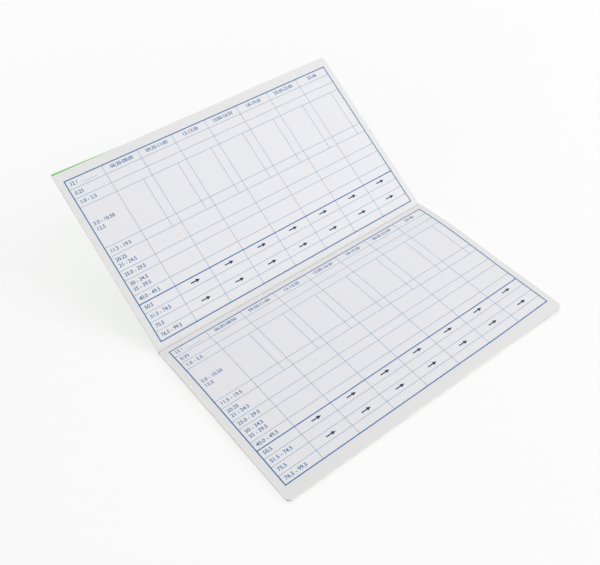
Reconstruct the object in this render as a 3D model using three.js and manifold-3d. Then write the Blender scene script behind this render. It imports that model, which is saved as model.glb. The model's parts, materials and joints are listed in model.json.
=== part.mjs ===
// A saddle-stitched log book that lies open on its back half, with the front half standing up a little.
// Millimetres, +Z up. X runs along the fold and +Y points from the back half to the front half.
// A sheet is folded once and makes two leaves: leaves 1 and 24 are the outermost sheet, and leaves 12
// and 13 the innermost. Two wire staples hold the sheets and the card cover together along the fold.

import * as THREE from 'three';
import { mergeVertices } from 'three/addons/utils/BufferGeometryUtils.js';
import Module from 'manifold-3d';

const wasm = await Module();
wasm.setup();

// Driving dimensions. Depth is measured out from the fold.
const page = { width: 210, depth: 125, corner: 3, cornerSteps: 4 };
const paper = { thickness: 0.12, air: 0.01 };
const card = { thickness: 0.3, frontOverhang: 0.5 };
const sheetCount = 12;
const turnedSheetCount = 10;
const opening = { slope: 33, slack: 0.38 };
const spine = { lift: 0.5, run: 15, seam: 0.05, arcSteps: 8 };
const arch = { height: 2.6, run: 20 };
const staple = { wire: 0.4, crown: 13, clinch: 4.5, bend: 0.5, bendSteps: 3, sides: 8, fromMiddle: 52.5 };
const stapleFit = { hole: 0.1, seat: 0.02 };
const strips = { count: 12, crowding: 1.6 };
const restToFold = 70;

const finishes = {
  paper: { color: 0xecedf0, roughness: 0.85, metalness: 0 },
  card: { color: 0x4fae3c, roughness: 0.5, metalness: 0 },
  steel: { color: 0xb9bcc0, roughness: 0.3, metalness: 1 },
};

// What follows from the driving dimensions.
const leafPitch = paper.thickness + paper.air;
const innerSheetCount = sheetCount - turnedSheetCount;
const leafCount = 2 * sheetCount;
const lowerLayers = turnedSheetCount + 2 * innerSheetCount;
const bundleThickness = 2 * innerSheetCount * leafPitch;
const gutterRadius = bundleThickness + opening.slack;
const coverRadius = gutterRadius + turnedSheetCount * leafPitch + card.thickness;
const foldHeight = spine.lift + coverRadius;
const edgeGap = staple.wire / 2 + stapleFit.hole;
const slope = THREE.MathUtils.degToRad(opening.slope);
const straightDown = -Math.PI / 2;
const foldMiddle = straightDown + slope / 2;

const layerUnderside = (layer) => card.thickness + paper.air + layer * leafPitch;

const smooth = (t) => t * t * (3 - 2 * t);

// How far the book stands off the table at a distance from the fold: the staples' crowns lift the spine.
const spineLift = (out) => spine.lift * (1 - smooth(Math.min(1, out / spine.run)));

// Leaves of the open back half bulge up beside the fold and come down towards their fore-edge.
const archShape = (out) => (1 - Math.exp(-out / arch.run)) * (1 - out / page.depth);

// Places of the cross strips of a leaf, crowded towards the fold where it curves, and then round its corners.
function stations(depth) {
  const straightEnd = depth - page.corner;
  const places = [];
  for (let i = 0; i <= strips.count; i++) {
    const share = (i / strips.count) ** strips.crowding;
    places.push({ out: edgeGap + (straightEnd - edgeGap) * share, half: page.width / 2 });
  }
  for (let i = 1; i <= page.cornerSteps; i++) {
    const turn = (i / page.cornerSteps) * (Math.PI / 2);
    const half = page.width / 2 - page.corner * (1 - Math.cos(turn));
    places.push({ out: straightEnd + page.corner * Math.sin(turn), half });
  }
  return places;
}

const archPeak = Math.max(...stations(page.depth).map(({ out }) => archShape(out)));

// A closed mesh of corner points and four-sided faces, turned so that its faces point out.
function closedMesh(points, quads) {
  const triangles = quads.flatMap(([a, b, c, d]) => [[a, b, c], [a, c, d]]);
  const volume = triangles.reduce((sum, corners) => {
    const [p, q, r] = corners.map((i) => points[i]);
    return sum + p.dot(new THREE.Vector3().crossVectors(q, r));
  }, 0);
  const index = volume > 0 ? triangles.flat() : triangles.map(([a, b, c]) => [a, c, b]).flat();
  const geometry = new THREE.BufferGeometry().setFromPoints(points);
  geometry.setIndex(index);
  geometry.computeVertexNormals();
  return geometry;
}

// Rings of points joined to a tube, with a flat end at each ring that has no neighbour.
function tube(rings) {
  const sides = rings[0].length;
  const quads = [];
  for (let ring = 0; ring < rings.length - 1; ring++) {
    for (let i = 0; i < sides; i++) {
      const next = (i + 1) % sides;
      const [a, b] = [ring * sides + i, ring * sides + next];
      quads.push([a, b, b + sides, a + sides]);
    }
  }
  const last = (rings.length - 1) * sides;
  for (let i = 1; i < sides / 2; i++) {
    const far = sides - i;
    quads.push([i - 1, far % sides, far - 1, i].map((corner) => corner % sides));
    quads.push([i - 1, i, far - 1, far % sides].map((corner) => last + (corner % sides)));
  }
  return closedMesh(rings.flat(), quads);
}

// One leaf or cover half: side is -1 for the back half and 1 for the front half, and height(out) is its underside.
function plate(side, depth, thickness, height) {
  const rings = stations(depth).map(({ out, half }) => {
    const y = side * out;
    const under = height(out);
    const over = under + thickness;
    return [[-half, under], [half, under], [half, over], [-half, over]].map(
      ([x, z]) => new THREE.Vector3(x, y, z),
    );
  });
  return tube(rings);
}

function named(name, geometry, finish) {
  const mesh = new THREE.Mesh(geometry, new THREE.MeshStandardMaterial(finishes[finish]));
  mesh.name = name;
  return mesh;
}

const twoDigits = (number) => String(number).padStart(2, '0');

const leafName = (number) => `leaf_${twoDigits(number)}`;

// The back half lies on the table: its cover, then the leaves from the last one up to the page that shows.
function backHalf() {
  const half = new THREE.Group();
  half.add(named('back_cover', plate(-1, page.depth, card.thickness, spineLift), 'card'));
  for (let layer = 0; layer < lowerLayers; layer++) {
    const bulge = (arch.height * layer) / (lowerLayers - 1) / archPeak;
    const height = (out) => spineLift(out) + layerUnderside(layer) + bulge * archShape(out);
    half.add(named(leafName(leafCount - layer), plate(-1, page.depth, paper.thickness, height), 'paper'));
  }
  return half;
}

// The front half is built flat about the fold's axis and then turned up by the opening's slope.
function frontHalf() {
  const half = new THREE.Group();
  const coverDepth = page.depth + card.frontOverhang;
  half.add(named('front_cover', plate(1, coverDepth, card.thickness, () => -coverRadius), 'card'));
  for (let layer = 0; layer < turnedSheetCount; layer++) {
    const height = () => layerUnderside(layer) - coverRadius;
    half.add(named(leafName(layer + 1), plate(1, page.depth, paper.thickness, height), 'paper'));
  }
  half.position.z = foldHeight;
  half.rotation.x = slope;
  return half;
}

function solidOf(geometry) {
  const bare = geometry.clone();
  bare.deleteAttribute('normal');
  bare.deleteAttribute('uv');
  const merged = mergeVertices(bare, 1e-5);
  const vertProperties = new Float32Array(merged.attributes.position.array);
  const triVerts = new Uint32Array(merged.index.array);
  return new wasm.Manifold(new wasm.Mesh({ numProp: 3, vertProperties, triVerts }));
}

function geometryOf(solid) {
  const { vertProperties, triVerts } = solid.getMesh();
  const geometry = new THREE.BufferGeometry();
  geometry.setAttribute('position', new THREE.BufferAttribute(vertProperties, 3));
  geometry.setIndex(new THREE.BufferAttribute(triVerts, 1));
  geometry.computeVertexNormals();
  return geometry;
}

const stapleMiddles = [-staple.fromMiddle, staple.fromMiddle];

// A stitch hole through the folds of the cover and the sheets, on the line of a staple's leg.
function stitchHole(x) {
  const drill = new THREE.CylinderGeometry(edgeGap, edgeGap, coverRadius, staple.sides);
  drill.rotateX(foldMiddle);
  const reach = (gutterRadius + coverRadius) / 2;
  drill.translate(x, reach * Math.cos(foldMiddle), reach * Math.sin(foldMiddle));
  return solidOf(drill);
}

const stitchHoles = stapleMiddles.flatMap((middle) =>
  [-staple.crown / 2, staple.crown / 2].map((leg) => stitchHole(middle + leg)),
);

// The bent strip of a folded sheet or of the cover, between its two flat halves. The bends of the cover
// and of the sheets in it lie one inside the other round the fold's axis, and the staples go through them.
function foldStrip(name, outerRadius, thickness, finish) {
  const pastEdge = Math.asin((edgeGap - spine.seam) / outerRadius);
  const [from, to] = [straightDown - pastEdge, straightDown + slope + pastEdge];
  const section = new THREE.Shape();
  section.absarc(0, 0, outerRadius, from, to, false);
  section.absarc(0, 0, outerRadius - thickness, to, from, true);
  section.closePath();
  const strip = new THREE.ExtrudeGeometry(section, {
    depth: page.width,
    bevelEnabled: false,
    curveSegments: spine.arcSteps,
  });
  strip.translate(0, 0, -page.width / 2);
  const [right, away, up] = [[1, 0, 0], [0, 1, 0], [0, 0, 1]].map((axis) => new THREE.Vector3(...axis));
  strip.applyMatrix4(new THREE.Matrix4().makeBasis(away, up, right));
  const pierced = stitchHoles.reduce((solid, hole) => solid.subtract(hole), solidOf(strip));
  return named(name, geometryOf(pierced), finish);
}

function spineFolds() {
  const folds = new THREE.Group();
  folds.add(foldStrip('spine_fold', coverRadius, card.thickness, 'card'));
  for (let layer = 0; layer < turnedSheetCount; layer++) {
    const outerRadius = coverRadius - layerUnderside(layer);
    folds.add(foldStrip(`sheet_fold_${twoDigits(layer + 1)}`, outerRadius, paper.thickness, 'paper'));
  }
  folds.position.z = foldHeight;
  return folds;
}

// The corners of an open outline, each replaced by a short round bend.
function roundedPath(corners, radius, steps) {
  const path = [corners[0]];
  for (let i = 1; i < corners.length - 1; i++) {
    const start = corners[i].clone().lerp(corners[i - 1], radius / corners[i].distanceTo(corners[i - 1]));
    const end = corners[i].clone().lerp(corners[i + 1], radius / corners[i].distanceTo(corners[i + 1]));
    path.push(...new THREE.QuadraticBezierCurve(start, corners[i], end).getPoints(steps));
  }
  path.push(corners[corners.length - 1]);
  return path;
}

// A staple lies in the plane that halves the opening: crown outside the cover's fold, both legs through
// the sheets, and the ends bent over towards each other inside the innermost sheet.
function stapleWire() {
  const crownReach = coverRadius + stapleFit.seat + staple.wire / 2;
  const clinchReach = gutterRadius - bundleThickness / 2;
  const side = staple.crown / 2;
  const tip = side - staple.clinch;
  const corners = [
    [-tip, clinchReach],
    [-side, clinchReach],
    [-side, crownReach],
    [side, crownReach],
    [side, clinchReach],
    [tip, clinchReach],
  ].map(([along, reach]) => new THREE.Vector2(along, reach));
  const path = roundedPath(corners, staple.bend, staple.bendSteps);
  const outwards = new THREE.Vector3(0, Math.cos(foldMiddle), Math.sin(foldMiddle));
  const along = new THREE.Vector3(1, 0, 0);
  const across = new THREE.Vector3().crossVectors(along, outwards);
  const rings = path.map((point, i) => {
    const before = path[Math.max(i - 1, 0)];
    const after = path[Math.min(i + 1, path.length - 1)];
    const heading = after.clone().sub(before).normalize();
    const turnedHeading = new THREE.Vector2(-heading.y, heading.x);
    const inPlane = along.clone().multiplyScalar(turnedHeading.x).addScaledVector(outwards, turnedHeading.y);
    const centre = along.clone().multiplyScalar(point.x).addScaledVector(outwards, point.y);
    return Array.from({ length: staple.sides }, (_, k) => {
      const turn = (2 * Math.PI * k) / staple.sides;
      return centre
        .clone()
        .addScaledVector(inPlane, (staple.wire / 2) * Math.cos(turn))
        .addScaledVector(across, (staple.wire / 2) * Math.sin(turn));
    });
  });
  return tube(rings);
}

function staples() {
  const pair = new THREE.Group();
  ['staple_left', 'staple_right'].forEach((name, i) => {
    const mesh = named(name, stapleWire(), 'steel');
    mesh.position.set(stapleMiddles[i], 0, foldHeight);
    pair.add(mesh);
  });
  return pair;
}

// The origin is the middle of the back cover's resting face, so the fold lies to its +Y side.
const logBook = new THREE.Group();
logBook.add(backHalf(), frontHalf(), spineFolds(), staples());
logBook.position.y = restToFold;

export default logBook;
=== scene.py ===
import json
import math
import bpy
from mathutils import Matrix, Vector


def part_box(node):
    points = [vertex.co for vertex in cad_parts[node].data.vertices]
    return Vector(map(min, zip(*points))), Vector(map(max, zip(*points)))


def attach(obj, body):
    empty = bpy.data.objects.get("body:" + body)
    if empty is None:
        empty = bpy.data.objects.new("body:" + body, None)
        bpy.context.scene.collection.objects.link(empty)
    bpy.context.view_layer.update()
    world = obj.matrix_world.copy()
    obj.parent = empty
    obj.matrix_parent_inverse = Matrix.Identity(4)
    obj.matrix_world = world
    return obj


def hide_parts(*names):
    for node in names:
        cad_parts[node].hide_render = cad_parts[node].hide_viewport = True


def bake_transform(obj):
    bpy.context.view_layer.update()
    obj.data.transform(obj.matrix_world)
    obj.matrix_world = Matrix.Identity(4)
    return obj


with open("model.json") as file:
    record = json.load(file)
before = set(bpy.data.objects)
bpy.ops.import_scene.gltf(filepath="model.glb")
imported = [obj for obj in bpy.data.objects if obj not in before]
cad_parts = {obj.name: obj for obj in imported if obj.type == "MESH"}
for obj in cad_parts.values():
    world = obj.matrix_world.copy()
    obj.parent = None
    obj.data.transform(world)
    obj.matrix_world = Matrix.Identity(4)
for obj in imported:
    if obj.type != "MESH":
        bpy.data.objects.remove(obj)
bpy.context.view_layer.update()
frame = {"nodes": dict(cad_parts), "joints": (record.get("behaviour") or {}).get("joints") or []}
print("log book: the frame is in")

mm = 0.001
foldPoint = Vector(next(j for j in frame["joints"] if j["name"] == "front_half_fold")["pos_m"])

book = {
    "halfWidth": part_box("leaf_11")[1].x - 0.5 * mm,  # side margins as the photo has them
    "depth": foldPoint.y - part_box("leaf_11")[0].y,
    "slope": math.radians(33),  # how far the front half stands up
    "coverRadius": 2.5 * mm,  # outside of the cover's bend round the fold
    "leaves": 24,
    "turned": 10,  # sheets that have a leaf on either side
    "corner": 3 * mm,
    "sharpCorner": 0.8 * mm,  # the front half's left one
    "skew": 0.8 * mm,  # how far the front half's fore-edge comes in at its left end
    "cornerCuts": 7,
    "bendReach": 0.45 * mm,  # flat halves start here, the bent strips end here
    "bundleReach": 0.9 * mm,  # the two innermost sheets start here
}
solid = {  # how the CAD stacks its sheets
    "paper": 0.12 * mm,
    "card": 0.3 * mm,
    "firstLayer": 0.31 * mm,
    "layer": 0.13 * mm,
}

# Leaves count from the front cover on. Layers count up from the cover in either half.
# The innermost leaves are those of the two sheets that lie wholly in the back half.
frontLeaves = range(1, book["turned"] + 1)
backLeaves = range(book["turned"] + 1, book["leaves"] + 1)
innermost = range(book["turned"] + 1, book["leaves"] - book["turned"] + 1)
turning = range(9, 15)  # leaves with a joint of their own


# Small helpers for working as by hand

def deselectAll():
    if bpy.context.object and bpy.context.object.mode != "OBJECT":
        bpy.ops.object.mode_set(mode="OBJECT")
    bpy.ops.object.select_all(action="DESELECT")


def pick(*objects):
    deselectAll()
    for obj in objects:
        obj.select_set(True)
    bpy.context.view_layer.objects.active = objects[0]


def editAll(obj):
    pick(obj)
    bpy.ops.object.mode_set(mode="EDIT")
    bpy.ops.mesh.select_all(action="SELECT")


def leaveEdit():
    bpy.ops.object.mode_set(mode="OBJECT")


def addModifier(obj, name, kind, **settings):
    modifier = obj.modifiers.new(name, kind)
    for key, value in settings.items():
        setattr(modifier, key, value)
    pick(obj)
    bpy.ops.object.modifier_apply(modifier=modifier.name)


def copyOf(obj, name):
    twin = obj.copy()
    twin.data = obj.data.copy()
    twin.name = twin.data.name = name
    bpy.context.scene.collection.objects.link(twin)
    return twin


def turnAboutFold(obj, angle):  # right-hand rule about +X; the operator itself turns the other way
    editAll(obj)
    bpy.ops.transform.rotate(value=-angle, orient_axis="X", center_override=foldPoint)
    leaveEdit()


def smoothStep(t):
    t = min(1, max(0, t))
    return t * t * (3 - 2 * t)


# Sheets: an edge along the fold is pulled out into a sheet, step by step along its profile

sheetLook = {
    "columns": 42,
    "nearFold": 20 * mm,
    "fineStep": 1.0 * mm,
    "step": 4.2 * mm,
    "paper": 0.112 * mm,
    "fanned": 0.20 * mm,  # most that the leaves of the back half gain where they fan out
    "nosePaper": 0.06 * mm,
    "card": 0.27 * mm,
    "trim": 0.13 * mm,  # unevenness of the trimmed edges
    "trimStep": 2.4,  # makes the trim change from leaf to leaf
    "wave": 0.55 * mm,  # slow waves of the paper
    "waveSize": 0.075,
    "waveLevel": 0.6,  # keeps the crests of the two halves clear of each other when closed
    "frontWaves": 0.6,  # how strong they are in the front half, set against the back half
    "curl": 1.5 * mm,  # of the top leaf's right corner, in the back half
    "curlRun": 0.055,
    "smoothAngle": math.radians(40),
}

slowWaves = bpy.data.textures.new("slowWaves", "CLOUDS")
slowWaves.noise_scale = sheetLook["waveSize"]
slowWaves.noise_depth = 0


def pullSheet(name, points, halfWidth):
    deselectAll()
    bpy.ops.mesh.primitive_plane_add(size=1, location=(0, 0, 0))
    sheet = bpy.context.object
    sheet.name = sheet.data.name = name
    editAll(sheet)
    bpy.ops.transform.resize(value=(2 * halfWidth, 0, 1))
    bpy.ops.mesh.remove_doubles(threshold=1e-6)
    bpy.ops.mesh.subdivide(number_cuts=sheetLook["columns"] - 1)
    bpy.ops.transform.translate(value=(0, *points[0]))
    for (y0, z0), (y1, z1) in zip(points, points[1:]):
        bpy.ops.mesh.extrude_region_move(TRANSFORM_OT_translate={"value": (0, y1 - y0, z1 - z0)})
    sheet.update_from_editmode()
    if sheet.data.polygons[0].normal.z < 0:
        bpy.ops.mesh.select_all(action="SELECT")
        bpy.ops.mesh.flip_normals()
    leaveEdit()
    return sheet


def cutAway(sheet, place, outward):
    editAll(sheet)
    bpy.ops.mesh.bisect(plane_co=place, plane_no=outward, clear_outer=True)
    leaveEdit()


def roundCorners(sheet, side, halfWidth, depth):  # side is -1 for the back half and 1 for the front half
    for hand in (-1, 1):
        radius = book["sharpCorner"] if (side, hand) == (1, -1) else book["corner"]
        centre = Vector((hand * (halfWidth - radius), foldPoint.y + side * (depth - radius), 0))
        for k in range(1, book["cornerCuts"] + 1):
            turn = math.radians(90) * k / (book["cornerCuts"] + 1)
            outward = Vector((hand * math.cos(turn), side * math.sin(turn), 0))
            cutAway(sheet, centre + outward * radius, outward)


def trimForeEdge(sheet, halfWidth, depth):
    rightEnd = Vector((halfWidth, foldPoint.y + depth, 0))
    cutAway(sheet, rightEnd, Vector((-book["skew"], 2 * halfWidth, 0)).normalized())


def stationsTo(depth, start):
    places = [start]
    while places[-1] < depth - sheetLook["step"]:
        step = sheetLook["fineStep"] if places[-1] < sheetLook["nearFold"] else sheetLook["step"]
        places.append(places[-1] + step)
    return places + [depth]


def giveWaves(sheet, share):
    if share == 0:  # the leaf on the cover lies flat
        return
    group = sheet.vertex_groups.new(name="awayFromFold")
    for vertex in sheet.data.vertices:
        away = abs(vertex.co.y - foldPoint.y) / sheetLook["nearFold"]
        group.add([vertex.index], smoothStep(away), "REPLACE")
    addModifier(sheet, "waves", "DISPLACE", texture=slowWaves, direction="Z", vertex_group=group.name,
                mid_level=sheetLook["waveLevel"], strength=sheetLook["wave"] * share)
    sheet.vertex_groups.clear()


def pullCorner(sheet, side, hand, size, shift, falloff, run):  # what lies near the corner follows it
    halfWidth, depth = size
    for vertex in sheet.data.vertices:
        across, out = hand * vertex.co.x, side * (vertex.co.y - foldPoint.y)
        vertex.select = across > halfWidth - book["corner"] and out > depth - book["corner"]
    pick(sheet)
    bpy.ops.object.mode_set(mode="EDIT")
    bpy.ops.transform.translate(value=shift, use_proportional_edit=True,
                                proportional_edit_falloff=falloff, proportional_size=run)
    leaveEdit()


def finishSheet(sheet, thickness, fuller=0):  # fuller in the bulge, so that the block's sides look closed
    group = sheet.vertex_groups.new(name="fuller")
    if fuller:
        for vertex in sheet.data.vertices:
            share = bulgeShape(max(0, foldPoint.y - vertex.co.y)) / bulgePeak
            group.add([vertex.index], share, "REPLACE")
    addModifier(sheet, "thickness", "SOLIDIFY", thickness=thickness + fuller, offset=0,
                vertex_group=group.name if fuller else "",
                thickness_vertex_group=thickness / (thickness + fuller))
    sheet.vertex_groups.clear()
    pick(sheet)
    bpy.ops.object.shade_smooth_by_angle(angle=sheetLook["smoothAngle"])
    return sheet


# Profiles of the two halves. The back half bulges beside the fold, the front half is flat.

bulge = {"height": 2.6 * mm, "run": 20 * mm, "lift": 0.5 * mm, "liftRun": 15 * mm}


def bulgeShape(out):
    return (1 - math.exp(-out / bulge["run"])) * (1 - out / book["depth"])


bulgePeak = max(bulgeShape(i * mm) for i in range(round(book["depth"] / mm)))


def bulgeShare(layer):  # 0 on the cover and 1 for the top leaf
    return layer / (len(backLeaves) - 1)


def backHeight(node, layer):  # height of the middle of a node's thickness, by the way out from the fold
    cadThickness = solid["card"] if "cover" in node else solid["paper"]
    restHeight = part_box(node)[0].z + cadThickness / 2
    rise = bulge["height"] * bulgeShare(layer) / bulgePeak

    def height(out):
        lift = bulge["lift"] * (1 - smoothStep(out / bulge["liftRun"]))
        return lift + restHeight + rise * bulgeShape(out)
    return height


def frontMiddle(layer):  # before the front half is turned up
    underside = foldPoint.z - book["coverRadius"] + solid["firstLayer"] + solid["layer"] * layer
    return underside + solid["paper"] / 2


def leafName(number):
    return f"leaf_{number:02d}"


def leafHeight(number):
    return backHeight(leafName(number), book["leaves"] - number)


def leafSize(number):  # half its width, and its depth
    def trimOf(edge):
        return sheetLook["trim"] * math.sin(sheetLook["trimStep"] * edge)
    return book["halfWidth"] + trimOf(number), book["depth"] + trimOf(number + 1)


leaves = {}


def makeBackLeaf(number):
    height = leafHeight(number)
    halfWidth, depth = leafSize(number)
    start = book["bundleReach"] if number in innermost else book["bendReach"]
    points = [(foldPoint.y - out, height(out)) for out in stationsTo(depth, start)]
    sheet = pullSheet(f"page_{number:02d}", points, halfWidth)
    roundCorners(sheet, -1, halfWidth, depth)
    share = bulgeShare(book["leaves"] - number)
    pullCorner(sheet, -1, 1, (halfWidth, depth), (0, 0, sheetLook["curl"] * share),
               "SMOOTH", sheetLook["curlRun"])
    giveWaves(sheet, share)
    leaves[number] = finishSheet(sheet, sheetLook["paper"], sheetLook["fanned"])


def makeFrontLeaf(number):
    layer = number - 1
    halfWidth, depth = leafSize(number)
    points = [(foldPoint.y + out, frontMiddle(layer)) for out in stationsTo(depth, book["bendReach"])]
    sheet = pullSheet(f"page_{number:02d}", points, halfWidth)
    trimForeEdge(sheet, halfWidth, depth)
    roundCorners(sheet, 1, halfWidth, depth)
    giveWaves(sheet, sheetLook["frontWaves"] * layer / (book["turned"] - 1))
    leaves[number] = finishSheet(sheet, sheetLook["paper"])


for number in backLeaves:
    makeBackLeaf(number)
for number in frontLeaves:
    makeFrontLeaf(number)
print("log book: leaves pulled,", len(leaves))


# Covers and the strips that bend

coverLook = {
    "inset": 0.3 * mm,  # from the leaves' edges
    "overhang": 1.6 * mm,  # at the front cover's left corner
    "overhangRun": 0.075,
    "bendSteps": 24,
    "flatSteps": 8,
}
coverHalfWidth = book["halfWidth"] - coverLook["inset"]
coverMiddle = book["coverRadius"] - solid["card"] / 2


def makeBackCover():
    height, depth = backHeight("back_cover", 0), book["depth"] - coverLook["inset"]
    points = [(foldPoint.y - out, height(out)) for out in stationsTo(depth, book["bendReach"])]
    sheet = pullSheet("cover_back", points, coverHalfWidth)
    roundCorners(sheet, -1, coverHalfWidth, depth)
    return finishSheet(sheet, sheetLook["card"])


def makeFrontCover():  # its fore-edge stands out past the leaves at the left corner
    level, depth = foldPoint.z - coverMiddle, book["depth"]
    points = [(foldPoint.y + out, level) for out in stationsTo(depth, book["bendReach"])]
    sheet = pullSheet("cover_front", points, coverHalfWidth)
    trimForeEdge(sheet, coverHalfWidth, depth)
    roundCorners(sheet, 1, coverHalfWidth, depth)
    pullCorner(sheet, 1, -1, (coverHalfWidth, depth), (0, coverLook["overhang"], 0),
               "LINEAR", coverLook["overhangRun"])
    return finishSheet(sheet, sheetLook["card"])


def bendPoints(radius, height):  # flat, round the fold, and flat again up the front half
    steps = coverLook["bendSteps"]
    outs = [book["bendReach"] * k / coverLook["flatSteps"] for k in range(1, coverLook["flatSteps"] + 1)]
    flat = [(foldPoint.y - out, height(out)) for out in reversed(outs)]
    turns = [book["slope"] * k / steps for k in range(steps + 1)]
    arc = [(foldPoint.y + radius * math.sin(a), foldPoint.z - radius * math.cos(a)) for a in turns]
    along = (math.cos(book["slope"]), math.sin(book["slope"]))
    ends = [(arc[-1][0] + along[0] * out, arc[-1][1] + along[1] * out) for out in outs]
    return flat + arc + ends


def makeBend(name, radius, height, thickness, halfWidth):
    points = bendPoints(radius, height)
    strip = pullSheet(name, points, halfWidth)
    finishSheet(strip, thickness)
    start, end = [Vector((0, *points[i])) for i in (0, -1)]
    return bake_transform(strip)


coverBack, coverFront = makeBackCover(), makeFrontCover()
coverBend = makeBend("cover_bend", coverMiddle, backHeight("back_cover", 0),
                     sheetLook["card"], coverHalfWidth)
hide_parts("spine_fold")
sheetBends = []
for layer in range(book["turned"]):
    number = book["leaves"] - layer
    bend = makeBend(f"sheet_bend_{layer + 1:02d}", foldPoint.z - frontMiddle(layer), leafHeight(number),
                    sheetLook["paper"], leafSize(number)[0])
    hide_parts(f"sheet_fold_{layer + 1:02d}")
    sheetBends.append(bend)


# The two innermost sheets lie wholly in the back half. Their folds go round the clinched staple ends.

nose = {
    "y": 0.10 * mm,  # middle of the folds, from the fold point
    "z": -0.50 * mm,
    "outerRadius": 0.345 * mm,
    "innerRadius": 0.225 * mm,
    "steps": 14,
    "tailSteps": 6,
}
noses = []


def lineSteps(first, last, steps):
    return [tuple(a + (b - a) * k / steps for a, b in zip(first, last)) for k in range(1, steps + 1)]


def makeNose(sheetNumber, under, over, radius, keeper):
    reach = book["bundleReach"]
    atUnder, atOver = [(foldPoint.y - reach, leafHeight(number)(reach)) for number in (under, over)]
    centreY, centreZ = foldPoint.y + nose["y"], foldPoint.z + nose["z"]
    turns = [math.pi * (k / nose["steps"] - 0.5) for k in range(nose["steps"] + 1)]
    arc = [(centreY + radius * math.cos(a), centreZ + radius * math.sin(a)) for a in turns]
    halfWidth = leafSize(under)[0]
    hook = pullSheet(f"sheet_nose_{sheetNumber}", [atUnder] + arc, halfWidth)
    finishSheet(hook, sheetLook["nosePaper"])
    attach(hook, keeper)
    tail = [arc[-1]] + lineSteps(arc[-1], atOver, nose["tailSteps"])
    flap = pullSheet(f"sheet_flap_{sheetNumber}", tail, halfWidth)
    finishSheet(flap, sheetLook["nosePaper"])
    Vector((0, *tail[0]))
    Vector((0, *tail[-1]))
    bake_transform(flap)
    noses.extend([hook, flap])


makeNose(11, 14, 11, nose["outerRadius"], "turning_leaf_14")
makeNose(12, 13, 12, nose["innerRadius"], "turning_leaf_13")
print("log book: cover and bends made")


# The printed table. It is drawn once for each half, flat, and then laid on each page that can be seen.

table = {
    "innerBack": 3.93 * mm,  # from the fold to the table on a page of the back half
    "innerFront": 5.06 * mm,
    "column": 25 * mm,
    "columns": 8,
    "short": 6.3 * mm,  # the three heights that rows have
    "double": 10.55 * mm,
    "tall": 28.8 * mm,
    "rows": ["short"] * 3 + ["tall", "short", "double", "short", "double"] + ["short"] * 5,
    "thickLineRow": 9,  # rows count from 0, and this one has the thick line on top
    "arrowRows": (9, 11),
    "split": 0.745,  # where a short rule splits a column
    "splitRows": (3, 5),  # it starts on top of the one and ends on top of the other
    "border": 0.68 * mm,
    "rule": 0.24 * mm,
    "acrossCell": 4 * mm,  # rules are cut into such lengths, so that they follow the page
    "downCell": 2.5 * mm,
    "letter": 3.3 * mm,
    "letterSteps": 3,
    "boldness": 0.05 * mm,
    "indent": 2.1 * mm,
    "lineSpacing": 3.9 * mm,
    "arrow": 6.6 * mm,
    "shaft": 0.75 * mm,
    "head": 2.7 * mm,
    "slimHead": 1.9,  # a bigger number makes it slimmer
    "ink": 0.012 * mm,
    "gap": 0.008 * mm,
    "raise": 0.008 * mm,  # rules that cross lie at different heights
    "above": 30 * mm,  # the height at which it is drawn
}
dots = {  # to write on, beside the day
    "count": 14,
    "start": 7.4 * mm,  # from the day's first figure
    "pitch": 0.8 * mm,
    "aboveRule": 1.9 * mm,
    "size": (0.4 * mm, 0.3 * mm),
}
columnTimes = ["06:30-08:00", "09:30-11:00", "12-13:30", "15:00-16:30", "18-19:30", "20:30-22:00", "23-06"]
days = ("12 /", "13 /")  # on the pages of the front half and of the back half
rowRanges = {
    1: ["0.25"], 2: ["1.0 - 2.5"], 3: ["3.0 - 10.50", "12.5"], 4: ["11.5 - 19.5"],
    5: ["20.25", "21 - 24.5"], 6: ["25.0 - 29.5"], 7: ["30 - 34.5", "35 - 39.5"], 8: ["40.0 - 49.5"],
    9: ["50.5"], 10: ["51.5 - 74.5"], 11: ["75.5"], 12: ["76.5 - 99.5"],
}
borderInk, ruleInk, arrowInk, labelInk = range(4)  # material slots, in the order of inkColours
rowEdges = [0]
for kind in table["rows"]:
    rowEdges.append(rowEdges[-1] + table[kind])
tableWidth, tableHeight = table["column"] * table["columns"], rowEdges[-1]


def tablePlace(across, down):
    return Vector((across - tableWidth / 2, foldPoint.y - table["innerBack"] - down, table["above"]))


def rowMiddle(row):
    return (rowEdges[row] + rowEdges[row + 1]) / 2


def useInk(ink):  # on what is selected
    bpy.context.object.active_material_index = ink
    bpy.ops.object.material_slot_assign()


def addBar(middle, size, cells, ink, raised=0):
    bpy.ops.mesh.select_all(action="DESELECT")
    bpy.ops.mesh.primitive_grid_add(x_subdivisions=cells[0], y_subdivisions=cells[1], size=1,
                                    location=middle)
    bpy.ops.transform.resize(value=(*size, 1), center_override=middle)
    bpy.context.scene.tool_settings.vertex_group_weight = raised
    bpy.ops.object.vertex_group_assign()
    useInk(ink)


def addAcross(down, weight, ink, inset, raised):
    width = tableWidth - 2 * inset
    cells = round(width / table["acrossCell"])
    addBar(tablePlace(tableWidth / 2, down), (width, weight), (cells, 1), ink, raised)


def addDown(across, weight, ink, top, bottom):
    cells = max(1, round((bottom - top) / table["downCell"]))
    addBar(tablePlace(across, (top + bottom) / 2), (weight, bottom - top), (1, cells), ink)


def addArrow(middle):
    length, head = table["arrow"], table["head"]
    addBar(middle - Vector((head / 2, 0, 0)), (length - head, table["shaft"]), (1, 1), arrowInk)
    bpy.ops.mesh.select_all(action="DESELECT")
    tip = middle + Vector((length / 2 - head * 2 / 3, 0, 0))
    bpy.ops.mesh.primitive_circle_add(vertices=3, radius=1, fill_type="NGON", location=tip)  # 1.5 long
    bpy.ops.transform.rotate(value=math.radians(90), orient_axis="Z", center_override=tip)
    bpy.ops.transform.resize(value=(head / 1.5, head / table["slimHead"], 1), center_override=tip)
    useInk(arrowInk)


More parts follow.
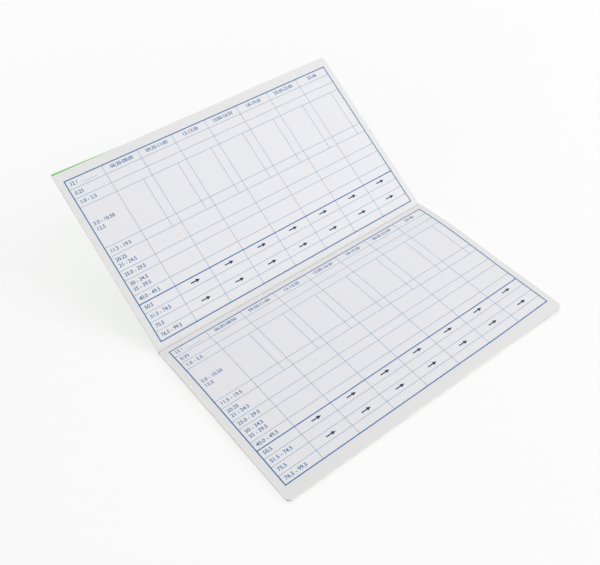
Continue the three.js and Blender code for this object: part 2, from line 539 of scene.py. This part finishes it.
def addLines():
    half = table["border"] / 2
    thickLine = table["thickLineRow"]
    for down, inset in ((0, -half), (rowEdges[thickLine], half), (tableHeight, -half)):
        addAcross(down, table["border"], borderInk, inset, raised=1)
    for across in (0, tableWidth):
        addDown(across, table["border"], borderInk, half, tableHeight - half)
    for down in rowEdges[1:thickLine] + rowEdges[thickLine + 1:-1]:
        addAcross(down, table["rule"], ruleInk, half, raised=0.5)
    splitTop, splitBottom = [rowEdges[row] for row in table["splitRows"]]
    for column in range(1, table["columns"]):
        addDown(column * table["column"], table["rule"], ruleInk, half, tableHeight - half)
        addDown((column + table["split"]) * table["column"], table["rule"], ruleInk, splitTop, splitBottom)
        for row in table["arrowRows"]:
            addArrow(tablePlace((column + 0.5) * table["column"], rowMiddle(row)))
    for dot in range(dots["count"]):
        across = table["indent"] + dots["start"] + dot * dots["pitch"]
        addBar(tablePlace(across, rowEdges[1] - dots["aboveRule"]), dots["size"], (1, 1), labelInk)


def addLabel(words, place, align, inks):
    deselectAll()
    bpy.ops.object.text_add(location=place)
    text = bpy.context.object.data
    text.body = words
    text.size = table["letter"]
    text.resolution_u = table["letterSteps"]
    text.offset = table["boldness"]
    text.align_x, text.align_y = align, "CENTER"
    bpy.ops.object.convert(target="MESH")
    label = bpy.context.object
    label.data.materials.clear()
    for ink in inks:
        label.data.materials.append(ink)
    editAll(label)
    useInk(labelInk)
    leaveEdit()
    return label


def drawTable(inks, day):
    deselectAll()
    bpy.ops.mesh.primitive_plane_add(size=1, location=(0, 0, 0))
    drawn = bpy.context.object
    drawn.name = "tableMaster"
    for ink in inks:
        drawn.data.materials.append(ink)
    drawn.vertex_groups.new(name="raised")
    editAll(drawn)
    bpy.ops.mesh.delete(type="VERT")
    addLines()
    leaveEdit()
    labels = []
    for column, words in enumerate(columnTimes, start=1):
        place = tablePlace((column + 0.5) * table["column"], table["short"] / 2)
        labels.append(addLabel(words, place, "CENTER", inks))
    for row, lines in {0: [day], **rowRanges}.items():
        for k, words in enumerate(lines):
            down = rowMiddle(row) + (k - (len(lines) - 1) / 2) * table["lineSpacing"]
            labels.append(addLabel(words, tablePlace(table["indent"], down), "LEFT", inks))
    pick(drawn, *labels)
    bpy.ops.object.join()
    bpy.ops.object.transform_apply(location=True, rotation=True, scale=True)
    return drawn


def layTable(master, number, face):  # face is 1 on top of a leaf and -1 on its underside
    firstRowByFold = (number in backLeaves) == (face > 0)
    printed = copyOf(master, f"table_{number:02d}_{'top' if face > 0 else 'under'}")
    editAll(printed)
    if not firstRowByFold:
        shift = tableHeight + table["innerBack"] + table["innerFront"]
        bpy.ops.transform.translate(value=(0, shift, 0))
    if face < 0:
        bpy.ops.transform.rotate(value=math.pi, orient_axis="X", center_override=foldPoint)
    leaveEdit()
    addModifier(printed, "layDown", "SHRINKWRAP", target=leaves[number], wrap_method="PROJECT",
                use_project_z=True, use_negative_direction=True, use_positive_direction=True)
    editAll(printed)
    bpy.ops.transform.translate(value=(0, 0, face * table["gap"]))
    leaveEdit()
    addModifier(printed, "raiseRules", "DISPLACE", direction="Z", mid_level=0, vertex_group="raised",
                strength=face * table["raise"])
    addModifier(printed, "inkFilm", "SOLIDIFY", thickness=table["ink"], offset=1)
    return printed


# Materials

def newMaterial(name):
    material = bpy.data.materials.new(name)
    material.use_nodes = True
    tree = material.node_tree
    return material, tree, tree.nodes["Principled BSDF"]


def feed(tree, socket, value):  # by a link or with a plain value
    if isinstance(value, bpy.types.NodeSocket):
        tree.links.new(value, socket)
    else:
        socket.default_value = value


def maths(tree, kind, *values, clamp=False):
    node = tree.nodes.new("ShaderNodeMath")
    node.operation, node.use_clamp = kind, clamp
    for socket, value in zip(node.inputs, values):
        feed(tree, socket, value)
    return node.outputs[0]


def mixColours(tree, share, first, second):
    mix = tree.nodes.new("ShaderNodeMix")
    mix.data_type = "RGBA"
    for i, value in ((0, share), (6, first), (7, second)):  # its sockets for colours are 6 and 7
        feed(tree, mix.inputs[i], value)
    return mix.outputs[2]


def mixShaders(tree, share, first, second, end):
    mix = tree.nodes.new("ShaderNodeMixShader")
    for socket, value in zip(mix.inputs, (share, first.outputs[0], second.outputs[0])):
        tree.links.new(value, socket)
    tree.links.new(mix.outputs[0], tree.nodes[end].inputs["Surface"])


def objectPlace(tree):
    return tree.nodes.new("ShaderNodeTexCoord").outputs["Object"]


def sheetPlace(tree, onFront):  # lies in the page, from the page's middle, with +Y to the fold
    mapping = tree.nodes.new("ShaderNodeMapping")
    mapping.vector_type = "POINT"
    turn = math.pi - book["slope"] if onFront else 0
    fromFold = Matrix.Rotation(turn, 3, "X") @ foldPoint
    mapping.inputs["Rotation"].default_value = (turn, 0, 0)
    mapping.inputs["Location"].default_value = Vector((0, book["depth"] / 2, 0)) - fromFold
    tree.links.new(objectPlace(tree), mapping.inputs["Vector"])
    return mapping.outputs["Vector"]


def newGroup(name, inputs, outputs):
    group = bpy.data.node_groups.new(name, "ShaderNodeTree")
    group.interface.new_socket("Place", in_out="INPUT", socket_type="NodeSocketVector")
    for key, value in inputs.items():
        socket = group.interface.new_socket(key, in_out="INPUT", socket_type="NodeSocketFloat")
        socket.default_value = value
    for key in outputs:
        group.interface.new_socket(key, in_out="OUTPUT", socket_type="NodeSocketFloat")
    return group, group.nodes.new("NodeGroupInput").outputs, group.nodes.new("NodeGroupOutput").inputs


def makeToothGroup():  # fine felt of the stock and slow mottling, from a place on the sheet
    group, given, results = newGroup("stockTooth", {"Fine": 2600, "Slow": 60}, ("Tooth", "Mottle"))
    for scale, detail, result in (("Fine", 4, "Tooth"), ("Slow", 3, "Mottle")):
        noise = group.nodes.new("ShaderNodeTexNoise")
        noise.inputs["Detail"].default_value = detail
        group.links.new(given["Place"], noise.inputs["Vector"])
        group.links.new(given[scale], noise.inputs["Scale"])
        group.links.new(noise.outputs["Fac"], results[result])
    return group


def makeBorderGroup():  # 1 outside a rectangle, fading to 0 inside it over Fade; Shift moves it to the fold
    sizes = {"Half Width": 0.105, "Half Depth": 0.0625, "Shift": 0.0, "Fade": 0.004}
    group, given, results = newGroup("borderFade", sizes, ("Mask",))
    split = group.nodes.new("ShaderNodeSeparateXYZ")
    group.links.new(given["Place"], split.inputs[0])
    across = maths(group, "ABSOLUTE", split.outputs["X"])
    along = maths(group, "ABSOLUTE", maths(group, "SUBTRACT", split.outputs["Y"], given["Shift"]))
    fromSide = maths(group, "SUBTRACT", given["Half Width"], across)
    fromEnd = maths(group, "SUBTRACT", given["Half Depth"], along)
    share = maths(group, "DIVIDE", maths(group, "MINIMUM", fromSide, fromEnd), given["Fade"])
    group.links.new(maths(group, "SUBTRACT", 1.0, share, clamp=True), results["Mask"])
    return group


toothGroup, borderGroup = makeToothGroup(), makeBorderGroup()


def addGroup(tree, group, place, **values):
    node = tree.nodes.new("ShaderNodeGroup")
    node.node_tree = group
    tree.links.new(place, node.inputs["Place"])
    for key, value in values.items():
        node.inputs[key.replace("_", " ")].default_value = value
    return node.outputs


def addBump(tree, shader, height, strength, distance):
    bump = tree.nodes.new("ShaderNodeBump")
    bump.inputs["Strength"].default_value = strength
    bump.inputs["Distance"].default_value = distance
    tree.links.new(height, bump.inputs["Height"])
    tree.links.new(bump.outputs["Normal"], shader.inputs["Normal"])


def spreadRoughness(tree, shader, share, look):  # from the look's roughness upwards
    roughness = maths(tree, "MULTIPLY_ADD", share, look["roughnessSpread"], look["roughness"])
    tree.links.new(roughness, shader.inputs["Roughness"])


def edgeMask(tree, place, fade):
    pastFold = 10 * mm  # the rectangle goes on past the fold, where a sheet has no edge
    return addGroup(tree, borderGroup, place, Half_Width=book["halfWidth"], Fade=fade,
                    Half_Depth=(book["depth"] + pastFold) / 2, Shift=pastFold / 2)["Mask"]


paperLook = {
    "page": (0.79, 0.78, 0.785, 1),
    "mottled": (0.77, 0.76, 0.76, 1),
    "inTable": (0.80, 0.80, 0.835, 1),
    "inTableShare": 0.9,
    # the leaves' cut edges: a paler edge tone, with painted light on top that makes them brighter than the
    # page
    "edge": (0.93, 0.92, 0.90, 1),
    # painted shade of the gutter: darker paper along the fold
    "creaseShade": (0.63, 0.625, 0.62, 1),
    "tableFade": 3 * mm,
    "edgeFade": 0.25 * mm,
    "creaseShadeFade": 0.45 * mm,
    "roughness": 0.62,
    "tooth": {"Fine": 2600, "Slow": 45},
    "bump": {"strength": 0.25, "distance": 0.03 * mm},
}


def makePaper(name, onFront):
    material, tree, shader = newMaterial(name)
    place = sheetPlace(tree, onFront)
    tooth = addGroup(tree, toothGroup, place, **paperLook["tooth"])
    base = mixColours(tree, tooth["Mottle"], paperLook["page"], paperLook["mottled"])
    inner = table["innerFront"] if onFront else table["innerBack"]
    outside = addGroup(tree, borderGroup, place, Half_Width=tableWidth / 2, Half_Depth=tableHeight / 2,
                       Shift=(book["depth"] - tableHeight) / 2 - inner, Fade=paperLook["tableFade"])
    share = paperLook["inTableShare"]
    inside = maths(tree, "MULTIPLY_ADD", outside["Mask"], -share, share)
    base = mixColours(tree, inside, base, paperLook["inTable"])
    # paler cut edges, partly painted light
    base = mixColours(tree, edgeMask(tree, place, paperLook["edgeFade"]), base, paperLook["edge"])
    if not onFront:  # painted shade where the innermost folds dip into the gutter
        wide = 1.0  # a rectangle so wide that only its side along the fold is on the page
        creaseShade = addGroup(tree, borderGroup, place, Half_Width=wide, Half_Depth=wide,
                          Shift=book["depth"] / 2 - wide, Fade=paperLook["creaseShadeFade"])
        base = mixColours(tree, creaseShade["Mask"], base, paperLook["creaseShade"])
    tree.links.new(base, shader.inputs["Base Color"])
    shader.inputs["Roughness"].default_value = paperLook["roughness"]
    addBump(tree, shader, tooth["Tooth"], **paperLook["bump"])
    return material


cardLook = {
    "green": (0.17, 0.55, 0.055, 1),
    "deep": (0.13, 0.47, 0.045, 1),
    "worn": (0.27, 0.64, 0.14, 1),
    "wornEdge": 0.5 * mm,
    "wear": (1.5, -0.35),  # the tooth times the first plus the second is the share that is worn
    "roughness": 0.31,
    "roughnessSpread": 0.15,
    "tooth": {"Fine": 1800, "Slow": 30},
    "bump": {"strength": 0.2, "distance": 0.02 * mm},
}


def makeCard(name, onFront):
    material, tree, shader = newMaterial(name)
    place = sheetPlace(tree, onFront)
    tooth = addGroup(tree, toothGroup, place, **cardLook["tooth"])
    base = mixColours(tree, tooth["Mottle"], cardLook["green"], cardLook["deep"])
    patchy = maths(tree, "MULTIPLY_ADD", tooth["Tooth"], *cardLook["wear"])
    wear = maths(tree, "MULTIPLY", edgeMask(tree, place, cardLook["wornEdge"]), patchy, clamp=True)
    base = mixColours(tree, wear, base, cardLook["worn"])
    tree.links.new(base, shader.inputs["Base Color"])
    spreadRoughness(tree, shader, tooth["Mottle"], cardLook)
    addBump(tree, shader, tooth["Tooth"], **cardLook["bump"])
    return material


inkColours = {
    "borderInk": (0.001, 0.145, 0.40, 1),
    "ruleInk": (0.11, 0.28, 0.47, 1),
    "arrowInk": (0.002, 0.010, 0.075, 1),
    "labelInk": (0.004, 0.145, 0.38, 1),
}
inkLook = {
    "paper": 0.75,  # what shows through thin ink
    "thin": 0.08,
    "roughness": 0.7,
    "specular": 0.15,
    "tooth": {"Fine": 1500, "Slow": 120},
}


def makeInk(name, colour):
    material, tree, shader = newMaterial(name)
    tooth = addGroup(tree, toothGroup, objectPlace(tree), **inkLook["tooth"])
    paler = tuple(c + (inkLook["paper"] - c) * inkLook["thin"] for c in colour[:3]) + (1,)
    tree.links.new(mixColours(tree, tooth["Tooth"], colour, paler), shader.inputs["Base Color"])
    shader.inputs["Roughness"].default_value = inkLook["roughness"]
    shader.inputs["Specular IOR Level"].default_value = inkLook["specular"]
    return material


wireLook = {
    "bright": (0.62, 0.63, 0.65, 1),
    "dull": (0.50, 0.51, 0.53, 1),
    "roughness": 0.2,
    "roughnessSpread": 0.25,
    "tooth": {"Fine": 5000, "Slow": 700},
}


def makeWire():
    material, tree, shader = newMaterial("stitchingWire")
    tooth = addGroup(tree, toothGroup, objectPlace(tree), **wireLook["tooth"])
    base = mixColours(tree, tooth["Mottle"], wireLook["bright"], wireLook["dull"])
    tree.links.new(base, shader.inputs["Base Color"])
    spreadRoughness(tree, shader, tooth["Tooth"], wireLook)
    shader.inputs["Metallic"].default_value = 1
    return material


paperOfFront, paperOfBack = makePaper("paperOfFrontHalf", True), makePaper("paperOfBackHalf", False)
cardOfFront, cardOfBack = makeCard("cardOfFrontHalf", True), makeCard("cardOfBackHalf", False)
wire = makeWire()
inks = [makeInk(name, colour) for name, colour in inkColours.items()]
print("log book: materials made")


# Put together: print the pages that can be seen, turn the front half up, and let each piece ride

masters = [drawTable(inks, day) for day in days]
turningFaces = [(number, face) for number in turning for face in (1, -1)]
prints = []
for number, face in [(turning[0] - 1, 1), *turningFaces, (turning[-1] + 1, 1)]:
    prints.append((number, layTable(masters[number in backLeaves], number, face)))
for master in masters:
    bpy.data.objects.remove(master)
print("log book: tables printed,", len(prints))


def bodyOf(number):
    if number in turning:
        return f"turning_{leafName(number)}"
    return "front_half" if number in frontLeaves else "back_half"


def dress(piece, material):
    piece.data.materials.clear()
    piece.data.materials.append(material)


for number, sheet in leaves.items():
    onFront = number in frontLeaves
    if onFront:
        turnAboutFold(sheet, book["slope"])
    dress(sheet, paperOfFront if onFront else paperOfBack)
    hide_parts(leafName(number))
    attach(sheet, bodyOf(number))
for number, printed in prints:
    if number in frontLeaves:
        turnAboutFold(printed, book["slope"])
    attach(printed, bodyOf(number))
turnAboutFold(coverFront, book["slope"])
dress(coverFront, cardOfFront)
dress(coverBack, cardOfBack)
dress(coverBend, cardOfBack)
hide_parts("front_cover")
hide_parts("back_cover")
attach(coverFront, "front_half")
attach(coverBack, "back_half")
for bend in sheetBends + noses:
    dress(bend, paperOfBack)
for name in ("staple_left", "staple_right"):
    staple = frame["nodes"][name]
    staple.data.materials.clear()
    staple.data.materials.append(wire)
print("log book: put together")


# Floor, light and camera

studio = {
    "floorSize": 6.0,
    "floorDrop": 0.02 * mm,  # keeps it off the faces that lie on it
    "floor": (0.90, 0.90, 0.90, 1),
    "floorRoughness": 0.9,
    "floorSpecular": 0.1,
    "floorFade": {"From Min": 0.22, "From Max": 0.8, "To Min": 0.75, "To Max": 1},  # to white, outwards
    "worldLight": 0.42,
}
lamps = {
    "keyLamp": {"place": (0.75, -0.60, 0.75), "aim": (0, 0.05, 0.02), "size": (0.8, 0.8), "power": 7.0},
    "backLamp": {"place": (0.10, 0.70, 1.20), "aim": (0, 0.05, 0.02), "size": (1.2, 1.2), "power": 5.9},
    "leftStrip": {"place": (-0.95, -0.20, 0.12), "aim": (0, 0.05, 0.02), "size": (0.8, 0.18), "power": 2.4},
    "frontStrip": {"place": (0.4, -0.8, 0.12), "aim": (0.09, 0.06, 0.01), "size": (0.5, 0.16), "power": 0.6},
}
photoView = {
    "sensor": 36,
    "lens": 51.06,
    "shift": (-0.0295, -0.0210),
    "place": (-0.2257, -0.2425, 0.3855),
    "angles": (45.308, 1.087, -38.557),
}


def seenByEye(tree):  # 1 for the rays that show the background, in the picture or in glossy things
    path = tree.nodes.new("ShaderNodeLightPath").outputs
    seen = maths(tree, "MAXIMUM", path["Is Camera Ray"], path["Is Glossy Ray"])
    return maths(tree, "MAXIMUM", seen, path["Is Transmission Ray"])


def makeFloor():
    deselectAll()
    bpy.ops.mesh.primitive_plane_add(size=studio["floorSize"], location=(0, 0, -studio["floorDrop"]))
    floor = bpy.context.object
    floor.name = "floor"
    material, tree, shader = newMaterial("paleFloor")
    shader.inputs["Base Color"].default_value = studio["floor"]
    shader.inputs["Roughness"].default_value = studio["floorRoughness"]
    shader.inputs["Specular IOR Level"].default_value = studio["floorSpecular"]
    glow = tree.nodes.new("ShaderNodeEmission")
    glow.inputs["Strength"].default_value = 1
    away = tree.nodes.new("ShaderNodeVectorMath")
    away.operation = "LENGTH"
    tree.links.new(objectPlace(tree), away.inputs[0])
    fade = tree.nodes.new("ShaderNodeMapRange")
    for name, value in studio["floorFade"].items():
        fade.inputs[name].default_value = value
    tree.links.new(away.outputs["Value"], fade.inputs["Value"])
    share = maths(tree, "MULTIPLY", seenByEye(tree), fade.outputs[0])
    mixShaders(tree, share, shader, glow, "Material Output")
    floor.data.materials.append(material)


def makeWorld():
    world = bpy.data.worlds.new("paleStudio")
    bpy.context.scene.world = world
    world.use_nodes = True
    tree = world.node_tree
    light, shown = tree.nodes["Background"], tree.nodes.new("ShaderNodeBackground")
    for background in (light, shown):
        background.inputs["Color"].default_value = (1, 1, 1, 1)
    light.inputs["Strength"].default_value = studio["worldLight"]
    mixShaders(tree, seenByEye(tree), light, shown, "World Output")


def makeLamp(name, place, aim, size, power):
    data = bpy.data.lights.new(name, "AREA")
    data.shape = "ELLIPSE"
    data.size, data.size_y = size
    data.energy = power
    lamp = bpy.data.objects.new(name, data)
    lamp.location = place
    lamp.rotation_euler = (Vector(aim) - Vector(place)).to_track_quat("-Z", "Y").to_euler()
    bpy.context.scene.collection.objects.link(lamp)


def makeCamera():
    data = bpy.data.cameras.new("photoView")
    data.sensor_width = photoView["sensor"]
    data.lens = photoView["lens"]
    data.shift_x, data.shift_y = photoView["shift"]
    camera = bpy.data.objects.new("photoView", data)
    camera.location = photoView["place"]
    camera.rotation_euler = [math.radians(a) for a in photoView["angles"]]
    bpy.context.scene.collection.objects.link(camera)
    bpy.context.scene.camera = camera


makeFloor()
makeWorld()
for name, settings in lamps.items():
    makeLamp(name, **settings)
makeCamera()
bpy.context.scene.view_settings.view_transform = "Standard"
print("log book: studio set")
